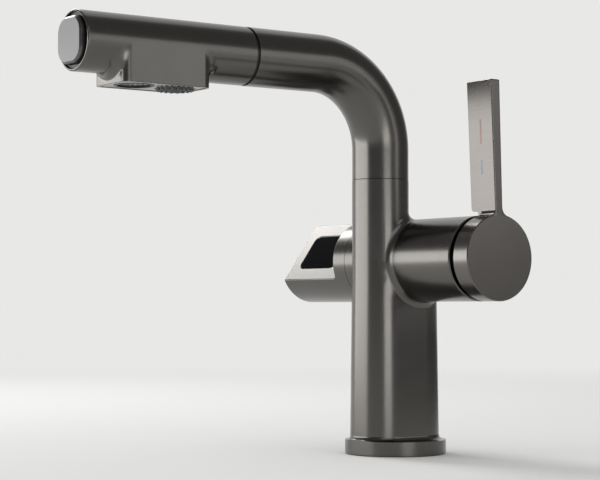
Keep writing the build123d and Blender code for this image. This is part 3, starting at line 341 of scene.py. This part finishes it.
dress(black_plastic, "bonnet_dome", "button_bezel", "display_module", "aerator_case")
dress(seam_plastic, "dock_bush", "swivel_washer")
dress(white_plastic, "nipple_clip", "cartridge_base", "cartridge_housing", "cartridge_rotor",
      "disc_carrier", "board_plug", "generator_case", "generator_cover", "turbine_wheel",
      "spout_bush", "diverter_block", "check_valve", "diverter_spool")
dress(rubber, "base_seal", "cartridge_seals", "display_o_ring", "display_gasket", "display_leads",
      "flow_seal", "hose_washer", "spool_seals")
dress(silicone, "nozzle_mat")
dress(window_black, "display_lens")
dress(brass, "waterway_block", "swivel_nipple", "cartridge_nut", "cartridge_stem", "hose_nut",
      "shaft_bushes")
dress(steel, "housing_screw", "grub_screw", "lever_screw", "pivot_pin", "turbine_shaft",
      "aerator_mesh")
dress(ceramic, "fixed_disc", "moving_disc")
dress(board_green, "display_board")
dress(magnet_grey, "rotor_magnet")
dress(copper, "stator_coil")
dress(hose_cover, "hose_riser", "hose_elbow")
dress(red_lacquer, "hot_mark")
dress(blue_lacquer, "cold_mark")


# New pieces


def grid_mesh(name, points, material, wrap=True, capped=False):
    """Make a smooth mesh with sharp edges from an array of rows of points. Each row joins the next,
    a wrapped row closes on itself, and a cap closes the first and last row."""
    sharp_deg = 35
    rows, cols = points.shape[:2]
    index = np.arange(rows * cols).reshape(rows, cols)
    right = np.roll(index, -1, axis=1) if wrap else index[:, 1:]
    left = index if wrap else index[:, :-1]
    quads = np.stack([left[:-1], right[:-1], right[1:], left[1:]], axis=-1).reshape(-1, 4)
    ends = [index[0, ::-1].tolist(), index[-1].tolist()] if capped else []
    mesh = bpy.data.meshes.new(name)
    mesh.from_pydata(points.reshape(-1, 3).tolist(), [], quads.tolist() + ends, shade_flat=False)
    mesh.set_sharp_from_angle(angle=math.radians(sharp_deg))
    mesh.materials.append(material)
    mesh.update()
    piece = bpy.data.objects.new(name, mesh)
    bpy.context.scene.collection.objects.link(piece)
    return piece


def circle_angles(count):
    """Angles evenly round a circle."""
    return np.linspace(0, 2 * math.pi, count, endpoint=False)


def hose_tube():
    """The hose from the end of the fixed bend to the head's nut: a closed tube whose profile runs
    along the outside, over the end and back along the bore, at every angle round the Y axis."""
    low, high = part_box("hose_lead")
    outer, wall, steps, round_steps = high.x, 2.0 * MM, 241, 96
    along = np.linspace(high.y, low.y, steps)
    profile_y = np.concatenate([along, along[::-1], along[:1]])
    profile_r = np.concatenate([np.full(steps, outer), np.full(steps, outer - wall), [outer]])
    angle = circle_angles(round_steps)
    points = np.stack([
        profile_r[:, None] * np.cos(angle),
        np.repeat(profile_y[:, None], len(angle), axis=1),
        SPOUT_Z + profile_r[:, None] * np.sin(angle),
    ], axis=-1)
    piece = grid_mesh("pull_out_hose", points, hose_cover)
    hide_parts("hose_lead")
    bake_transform(piece)


def return_spring():
    """The push button's spring: a round wire along a helix about the head's axis. At angle a its
    centre is (R cos a, y, z + R sin a) with y in proportion to a, and the wire's section stands
    across that path. It runs between the head and the button."""
    low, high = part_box("button_spring")
    wire_r, turns, turn_steps, wire_steps = 0.5 * MM, 4, 64, 16
    coil_r = high.x - wire_r
    start, end = high.y - wire_r, low.y + wire_r
    angle = np.linspace(0, 2 * math.pi * turns, turn_steps * turns + 1)[:, None, None]
    round_wire = circle_angles(wire_steps)[None, :, None]
    rise = (end - start) / (2 * math.pi * turns)
    zero = np.zeros_like(angle)
    out = np.concatenate([np.cos(angle), zero, np.sin(angle)], axis=-1)
    along = np.concatenate([-coil_r * np.sin(angle), zero + rise, coil_r * np.cos(angle)], axis=-1)
    across = np.cross(along / np.linalg.norm(along, axis=-1, keepdims=True), out)
    centre = coil_r * out + np.concatenate([zero, start + rise * angle, zero + SPOUT_Z], axis=-1)
    points = centre + wire_r * (np.cos(round_wire) * out + np.sin(round_wire) * across)
    piece = grid_mesh("return_spring", points, steel_wire, capped=True)
    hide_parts("button_spring")
    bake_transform(piece)


def boss_outline():
    """The outlet boss seen from below, as wide as the head: places and outward normals along two
    rear corners, the rear end, two front corners and the front end. Its ends lie a little outside
    the solid's, which are one wall out from the plate of the outlets."""
    over, wall, rear_corner, front_corner = 0.2 * MM, 1.3 * MM, 4.9 * MM, 4.0 * MM
    plate_low, plate_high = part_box("outlet_plate")
    rear, front = plate_high.y + wall + over, plate_low.y - wall - over
    corner_steps, run_steps = 49, 41
    turn = np.linspace(0, math.pi / 2, corner_steps)[:, None]
    places, normals = [], []
    for way, end, corner in ((1, rear, rear_corner), (-1, front, front_corner)):
        middle = np.array([HEAD_R - corner, way * end - corner]) * way
        first = np.concatenate([np.cos(turn), np.sin(turn)], axis=1) * way
        second = np.concatenate([-np.sin(turn), np.cos(turn)], axis=1) * way
        run = np.linspace(middle[0], -middle[0], run_steps)[1:-1]
        normals += [first, np.tile([0.0, float(way)], (len(run), 1)), second]
        places += [middle + corner * first, np.stack([run, np.full(len(run), end)], axis=1),
                   middle * [-1.0, 1.0] + corner * second]
    return np.concatenate(places), np.concatenate(normals)


def boss_fairing():
    """The smooth skin where the outlet boss grows out of the round head. At each place of the
    boss's outline a ball of radius f touches the upright wall and the head: its centre is f out
    from the wall and HEAD_R + f from the head's axis. The skin goes from a rounded lower edge up
    the wall and round the ball to the head, and comes back inside the shell. The ball is larger at
    the sides than at the ends."""
    place, normal = boss_outline()
    end_ball, side_ball = 4.0 * MM, 14.0 * MM
    edge_r, skin, proud, below = 0.25 * MM, 0.5 * MM, 0.012 * MM, 0.02 * MM
    path_steps, edge_steps, tiny = 64, 6, 1e-9
    up = np.array([0.0, 0.0, 1.0])
    out = np.concatenate([normal, np.zeros((len(normal), 1))], axis=-1)
    ball = end_ball + (side_ball - end_ball) * normal[:, :1] ** 2
    foot_z = head_low.z - SPOUT_Z - below + edge_r
    foot = np.concatenate([place, np.full((len(place), 1), foot_z)], axis=-1)

    # The ball's centre, the angle that it spans, and the direction in which that angle opens.
    middle = foot + ball * out
    middle[:, 2] = -np.sqrt(np.maximum((HEAD_R + ball[:, 0]) ** 2 - middle[:, 0] ** 2, 0.0))
    to_head = -middle * [1.0, 0.0, 1.0] / (HEAD_R + ball)
    span = np.arccos(np.clip(-(out * to_head).sum(axis=-1, keepdims=True), -1.0, 1.0))
    opening = to_head + np.cos(span) * out
    opening /= np.maximum(np.linalg.norm(opening, axis=-1, keepdims=True), tiny)

    # The lower edge, the wall and the ball's arc, with the outward direction at each place.
    rise = middle[:, 2:] - foot[:, 2:]
    path = np.linspace(0.0, 1.0, path_steps) * (rise + ball * span)
    angle = np.maximum(path - rise, 0.0) / ball
    ray = -np.cos(angle)[..., None] * out[:, None] + np.sin(angle)[..., None] * opening[:, None]
    climb = foot[:, None] + np.minimum(path, rise)[..., None] * up
    climb = climb + ball[..., None] * (ray + out[:, None])
    turn = np.linspace(-math.pi / 2, 0, edge_steps + 1)[None, :-1, None]
    edge_way = np.cos(turn) * out[:, None] + np.sin(turn) * up
    edge = (foot - edge_r * out)[:, None] + edge_r * edge_way
    line = np.concatenate([edge, climb], axis=1)
    way = np.concatenate([edge_way, -ray], axis=1)

    outer = line + proud * way
    inner = (line - skin * way)[:, edge_steps:][:, ::-1]
    loop = np.concatenate([outer, inner, outer[:, :1]], axis=1) + SPOUT_Z * up
    piece = grid_mesh("boss_fairing", loop.transpose(1, 0, 2), head_metal)
    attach(piece, "spray_head")


def foot_arc(face_y, lean, side, radius, steps):
    """A circle that touches a leaning face of the lever and the round cap from outside, in Y and Z
    from the barrel's axis: its centre and the unit vectors from it along the arc between them. The
    face's Y is that at the height of the lever's lower edge."""
    edge_z = 122.4 * MM
    up = np.array([-lean, 1.0]) / math.hypot(lean, 1.0)
    out = side * np.array([1.0, lean]) / math.hypot(lean, 1.0)
    start = np.array([face_y - BARREL_Y, edge_z - BARREL_Z]) + radius * out
    along = start @ up
    middle = start + up * (math.sqrt(along ** 2 - start @ start + (BARREL_R + radius) ** 2) - along)
    first, last = -out, -middle / (BARREL_R + radius)
    span = math.acos(first @ last)
    share = np.linspace(0.0, span, steps)[:, None]
    return middle, (np.sin(span - share) * first + np.sin(share) * last) / math.sin(span)


def lever_foot():
    """The curves that lead from the lever's two faces into the round cap: a section of two arcs,
    drawn along X over the cap's depth. Near its ends the arcs grow by r (1 - cos a) while X goes on
    by r sin a, which rounds the edges."""
    # The Y and the lean of each face of the lever at its lower edge, and its curve's radius.
    front_y, front_lean, front_r = 3.85 * MM, 0.0439, 3.2 * MM
    back_y, back_lean, back_r = 8.55 * MM, 0.0272, 4.5 * MM

    # The edge at the right is rounder at the lever than at the cap.
    left_edge, lever_edge, cap_edge = 0.3 * MM, 0.7 * MM, 0.4 * MM
    inset, proud, arc_steps, edge_steps = 0.1 * MM, 0.01 * MM, 17, 7

    front, front_rays = foot_arc(front_y, front_lean, -1, front_r, arc_steps)
    back, back_rays = foot_arc(back_y, back_lean, 1, back_r, arc_steps)
    rays = np.concatenate([front_rays, back_rays[::-1]])
    middles = np.repeat([front, back], arc_steps, axis=0)
    radius = np.repeat([front_r, back_r], arc_steps)
    to_cap = np.linspace(0, 1, arc_steps)
    right_edge = lever_edge + (cap_edge - lever_edge) * np.concatenate([to_cap, to_cap[::-1]])
    left_edge = np.full_like(right_edge, left_edge)
    turn = np.linspace(0, math.pi / 2, edge_steps)[:, None]
    place = np.concatenate([cap_low.x + inset + left_edge * (1 - np.sin(turn[::-1])),
                            cap_high.x - proud - right_edge * (1 - np.sin(turn))])
    grow = np.concatenate([left_edge * (1 - np.cos(turn[::-1])), right_edge * (1 - np.cos(turn))])
    section = middles + (radius - proud + grow)[..., None] * rays
    points = np.concatenate([place[..., None], section + [BARREL_Y, BARREL_Z]], axis=-1)
    piece = grid_mesh("lever_foot", points, cap_metal_painted_lighter, capped=True)
    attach(piece, "handle")


hose_tube()
return_spring()
boss_fairing()
lever_foot()


# Floor, light and camera

# The photograph's camera: its place, its heading round Z from +Y, its upward tilt, and its focal
# length as a share of the picture's width.
CAMERA_PLACE = (0.74775, -0.59941, 0.07473)
CAMERA_HEADING, CAMERA_TILT = 0.946445, 0.036909
CAMERA_FOCAL = 1849.335 / 600

# The camera's side of the object, round Z from +X, and the point that the lamps face.
VIEW_HEADING = CAMERA_HEADING - math.pi / 2
AIM = Vector((0.0, -0.03, 0.10))

PALE, CARD_GREY = "e8e8e7", "787776"


def camera_view():
    """The camera of the photograph."""
    sensor_mm, near, far = 36.0, 0.05, 60.0
    cos_tilt = math.cos(CAMERA_TILT)
    look = Vector((-math.sin(CAMERA_HEADING) * cos_tilt, math.cos(CAMERA_HEADING) * cos_tilt,
                   math.sin(CAMERA_TILT)))
    right = Vector((math.cos(CAMERA_HEADING), math.sin(CAMERA_HEADING), 0.0))
    up = right.cross(look)
    data = bpy.data.cameras.new("camera")
    data.sensor_width = sensor_mm
    data.lens = CAMERA_FOCAL * sensor_mm
    data.clip_start, data.clip_end = near, far
    camera = bpy.data.objects.new("camera", data)
    turn = Matrix((right, up, -look)).transposed().to_4x4()
    camera.matrix_world = Matrix.Translation(CAMERA_PLACE) @ turn
    bpy.context.scene.collection.objects.link(camera)
    bpy.context.scene.camera = camera


def direction(side_deg, rise_deg):
    """A direction from the object: degrees right of the camera and degrees above the horizon."""
    side, rise = VIEW_HEADING + math.radians(side_deg), math.radians(rise_deg)
    return Vector((math.cos(side) * math.cos(rise), math.sin(side) * math.cos(rise), math.sin(rise)))


def soft_box(name, side_deg, rise_deg, distance, width, height, radiance):
    """An evenly lit rectangle that faces the object. Its power follows from its radiance."""
    data = bpy.data.lights.new(name, "AREA")
    data.shape = "RECTANGLE"
    data.size, data.size_y = width, height
    data.energy = radiance * math.pi * width * height
    light = bpy.data.objects.new(name, data)
    way = direction(side_deg, rise_deg)
    light.location = AIM + way * distance
    light.rotation_mode = "QUATERNION"
    light.rotation_quaternion = way.to_track_quat("Z", "Y")
    light.visible_camera = False
    bpy.context.scene.collection.objects.link(light)


def studio_lamps():
    """The wide boxes at the left and in front give the long highlights, the high one behind lights
    the display's flat, and the faint ones at the right and above it fill the shade."""
    soft_box("left_box", side_deg=-90, rise_deg=3, distance=1.3, width=1.8, height=0.56, radiance=3.4)
    soft_box("front_box", side_deg=27, rise_deg=-2, distance=1.5, width=0.72, height=0.38, radiance=3.6)
    soft_box("high_box", side_deg=-145, rise_deg=42, distance=1.4, width=0.4, height=0.8, radiance=8.0)
    soft_box("side_box", side_deg=66, rise_deg=13, distance=1.4, width=0.65, height=0.5, radiance=1.05)
    soft_box("top_box", side_deg=25, rise_deg=28, distance=1.5, width=1.0, height=1.0, radiance=0.8)


def studio_floor():
    """A wide matt floor just under the object, which fades into the pale surround."""
    half, gap, fade_start, fade_end = 12.0, 0.05 * MM, 0.3, 1.5
    colour_swing, rough, dust_mm, depth_mm, shine = 0.005, (0.86, 0.94), 60.0, 0.01, 0.1
    corners = np.array([[[-half, -half, 0], [half, -half, 0]], [[-half, half, 0], [half, half, 0]]])
    material, tree, shader, place = new_material("pale_matt_floor")
    dust = stretched(tree, place, (dust_mm, dust_mm, dust_mm))
    finish(tree, shader, ends=shaded(PALE, colour_swing), shade=dust, rough=rough, rough_by=dust,
           height=dust, depth_mm=depth_mm)
    shader.inputs["Specular IOR Level"].default_value = shine
    away = add(tree, "ShaderNodeVectorMath", {0: place}, operation="LENGTH").outputs["Value"]
    far = add(tree, "ShaderNodeMapRange", {"Value": away, "From Min": fade_start, "From Max": fade_end},
              interpolation_type="SMOOTHSTEP").outputs["Result"]
    haze = add(tree, "ShaderNodeEmission", {"Color": linear(PALE), "Strength": 1.0}).outputs[0]
    mix = add(tree, "ShaderNodeMixShader", {0: far, 1: shader.outputs[0], 2: haze}).outputs[0]
    tree.links.new(mix, tree.nodes["Material Output"].inputs["Surface"])
    floor = grid_mesh("floor", corners, material, wrap=False)
    floor.location.z = -gap


def ring_points(sides, reach, heights):
    """Points of a band round the object: every given height, at headings between two sides."""
    side_steps = 60
    side = np.radians(np.linspace(*sides, side_steps)) + VIEW_HEADING
    reach, heights = np.broadcast_arrays(reach, heights)
    return np.stack([
        reach[:, None] * np.cos(side),
        reach[:, None] * np.sin(side),
        np.repeat(heights[:, None], len(side), axis=1),
    ], axis=-1)


def studio_cards():
    """Grey cards round the room for the reflections, which the camera and the soft light don't see.
    The wide one is a part of a sphere round the object, at every rise, and the low one stands on
    the floor at its right."""
    wide_sides, wide_reach, wide_top_deg, rise_steps = (-129, 145), 4.0, 89.0, 24
    low_sides, low_reach, low_top = (48, 150), 0.4, 0.055
    rise = np.radians(np.linspace(0.0, wide_top_deg, rise_steps))
    wide = ring_points(wide_sides, wide_reach * np.cos(rise), wide_reach * np.sin(rise))
    low = ring_points(low_sides, low_reach, np.array([0.0, low_top]))
    material = bpy.data.materials.new("dark_card")
    material.use_nodes = True
    tree = material.node_tree
    tree.nodes.clear()
    glow = add(tree, "ShaderNodeEmission", {"Color": linear(CARD_GREY), "Strength": 1.0})
    add(tree, "ShaderNodeOutputMaterial", {"Surface": glow.outputs[0]})
    for name, points in (("wide_card", wide), ("low_card", low)):
        card = grid_mesh(name, points, material, wrap=False)
        card.visible_camera = card.visible_diffuse = card.visible_shadow = False


def studio_world():
    """A pale surround. The camera, reflections and clear pieces see its colour as it is, and it
    lights the object softly."""
    as_light, as_seen = 0.7, 1.0
    world = bpy.data.worlds.new("pale_surround")
    bpy.context.scene.world = world
    world.use_nodes = True
    tree = world.node_tree
    tree.nodes.clear()
    ray = add(tree, "ShaderNodeLightPath").outputs
    seen = ray["Is Camera Ray"]
    for kind in ("Is Glossy Ray", "Is Transmission Ray"):
        seen = add(tree, "ShaderNodeMath", {0: seen, 1: ray[kind]}, operation="MAXIMUM").outputs[0]
    strength = add(tree, "ShaderNodeMapRange", {"Value": seen, "To Min": as_light, "To Max": as_seen})
    back = add(tree, "ShaderNodeBackground", {"Color": linear(PALE), "Strength": strength.outputs[0]})
    add(tree, "ShaderNodeOutputWorld", {"Surface": back.outputs[0]})


camera_view()
studio_lamps()
studio_floor()
studio_cards()
studio_world()

bpy.context.scene.view_settings.view_transform = "Standard"
